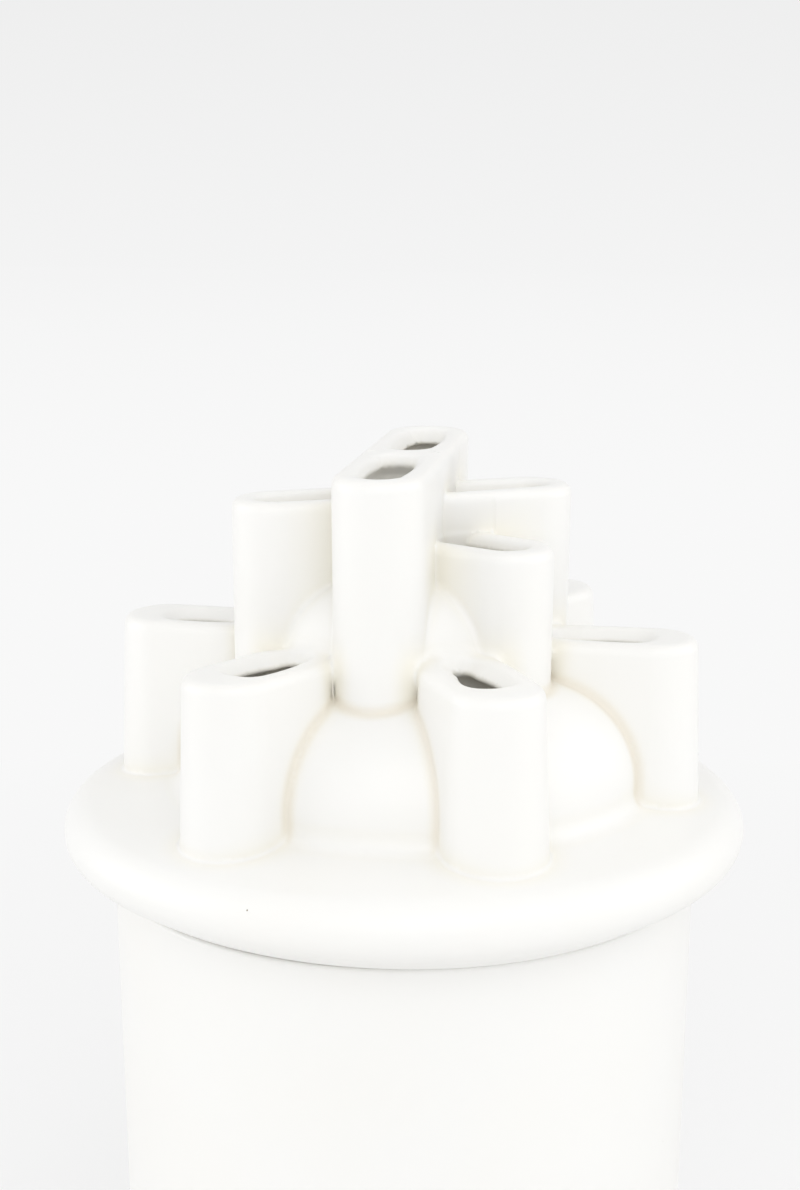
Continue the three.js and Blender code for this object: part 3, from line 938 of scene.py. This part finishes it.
def make_lamp(name, azimuth, elevation, watts):
    """A soft square lamp that faces the vase, placed by its angles round the axis and up."""
    data = bpy.data.lights.new(name, "AREA")
    data.size = LAMP_SIZE
    data.energy = watts
    lamp = bpy.data.objects.new(name, data)
    bpy.context.scene.collection.objects.link(lamp)
    back = Vector((
        math.sin(azimuth) * math.cos(elevation),
        -math.cos(azimuth) * math.cos(elevation),
        math.sin(elevation),
    ))
    lamp.location = LAMP_AIM + back * LAMP_DISTANCE
    lamp.rotation_euler = back.to_track_quat("Z", "Y").to_euler()


def seen(nodes):
    """1 for rays that look at the studio straight, in a gloss or through glass, 0 for its light."""
    path = nodes.add("LightPath").outputs
    straight = nodes.calculate("MAXIMUM", path["Is Camera Ray"], path["Is Glossy Ray"])
    return nodes.calculate("MAXIMUM", straight, path["Is Transmission Ray"])


# The backdrop: its greys, the slopes of sight between which it darkens, and the light that it gives
SKY_LOW = (0.94, 0.94, 0.94)
SKY_MIDDLE = (0.905, 0.905, 0.905)
SKY_HIGH = (0.845, 0.845, 0.845)
SKY_SLOPES = (-0.08, 0.10)
WORLD_WHITE = (1.0, 1.0, 1.0)
WORLD_LIGHT = 0.838


def make_world():
    """An even light all round that shows as a pale backdrop, a little darker towards the top."""
    world = bpy.data.worlds.new("studio")
    world.use_nodes = True
    nodes = Nodes(world.node_tree)
    backdrop = world.node_tree.nodes["Background"]
    light = nodes.add("Background", Color=WORLD_WHITE, Strength=WORLD_LIGHT)
    direction = nodes.add("TexCoord").outputs["Generated"]
    slope = nodes.add("SeparateXYZ", Vector=direction).outputs["Z"]
    high = nodes.remap(slope, *SKY_SLOPES)
    nodes.feed(backdrop, "Color", nodes.blend(high, SKY_MIDDLE, SKY_HIGH))
    mix = nodes.add("MixShader")
    nodes.feed(mix, 0, seen(nodes))
    nodes.feed(mix, 1, light.outputs["Background"])
    nodes.feed(mix, 2, backdrop.outputs["Background"])
    nodes.feed(world.node_tree.nodes["World Output"], "Surface", mix.outputs["Shader"])
    bpy.context.scene.world = world


# The floor, with its lengths in metres
FLOOR_SIZE = 6.0  # from the axis to each side
FLOOR_FADE = (2.0, 6.0)  # how far off it turns into the backdrop
FLOOR_GLOW = 0.3  # the share of the floor's colour that no shadow takes away
SHADOW_REACH = (0.25, 0.9)  # how far off its own shading fades out
FLOOR_WHITE = (0.895, 0.895, 0.895)
FLOOR_BOUNCE = (0.88, 0.88, 0.88)  # its colour for the light that it throws back on the vase


def floor_material():
    """A pale floor that keeps the vase's shadow near by, and turns into the backdrop far off."""
    material, nodes, shader = new_material("studio_floor")
    tree = material.node_tree
    tree.nodes.remove(shader)
    plain = nodes.add("BsdfDiffuse", Color=FLOOR_BOUNCE)
    away = nodes.add("VectorMath", Vector=nodes.place())
    away.operation = "LENGTH"
    distance = away.outputs["Value"]
    near = nodes.remap(distance, *SHADOW_REACH, 1 - FLOOR_GLOW, 0.0)
    far = nodes.remap(distance, *FLOOR_FADE)
    glow = nodes.add("Emission", Color=nodes.blend(far, SKY_LOW, SKY_MIDDLE), Strength=1.0)
    shaded = nodes.add("BsdfDiffuse", Color=FLOOR_WHITE)
    shown = nodes.add("MixShader")
    nodes.feed(shown, 0, near)
    nodes.feed(shown, 1, glow.outputs["Emission"])
    nodes.feed(shown, 2, shaded.outputs["BSDF"])
    mix = nodes.add("MixShader")
    nodes.feed(mix, 0, seen(nodes))
    nodes.feed(mix, 1, plain.outputs["BSDF"])
    nodes.feed(mix, 2, shown.outputs["Shader"])
    nodes.feed(tree.nodes["Material Output"], "Surface", mix.outputs["Shader"])
    return material


def make_floor():
    """One large square under the vase."""
    mesh = bpy.data.meshes.new("floor")
    size = FLOOR_SIZE
    corners = [(-size, -size, 0), (size, -size, 0), (size, size, 0), (-size, size, 0)]
    mesh.from_pydata(corners, [], [(0, 1, 2, 3)])
    mesh.materials.append(floor_material())
    floor = bpy.data.objects.new("floor", mesh)
    bpy.context.scene.collection.objects.link(floor)


make_camera()
make_world()
make_floor()
for name, turn, rise, watts in LAMPS:
    make_lamp(name, CAMERA_TURN + math.radians(turn), math.radians(rise), watts)

glaze = glaze_material()
clay = clay_material()

cover = make_cover()
container = make_container()
foot = make_ring("foot_ring_clay", FOOT_LOW, FOOT_HIGH, FOOT_WIDTH)
flange = make_ring("locating_flange_clay", FLANGE_LOW, FLANGE_HIGH, FLANGE_WIDTH)

for piece in (cover, container):
    piece.data.materials.append(glaze)
for piece in (foot, flange):
    piece.data.materials.append(clay)

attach(cover, "cover")
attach(flange, "cover")
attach(container, "container")
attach(foot, "container")

COVER_NODES = [name for name, node in frame["nodes"].items() if node["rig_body"] == "cover"]
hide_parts(*[name for name in COVER_NODES if name != "locating_flange"])
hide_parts("locating_flange")
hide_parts("container_wall", "container_floor")
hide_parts("foot_ring")

bpy.context.scene.view_settings.view_transform = "Standard"
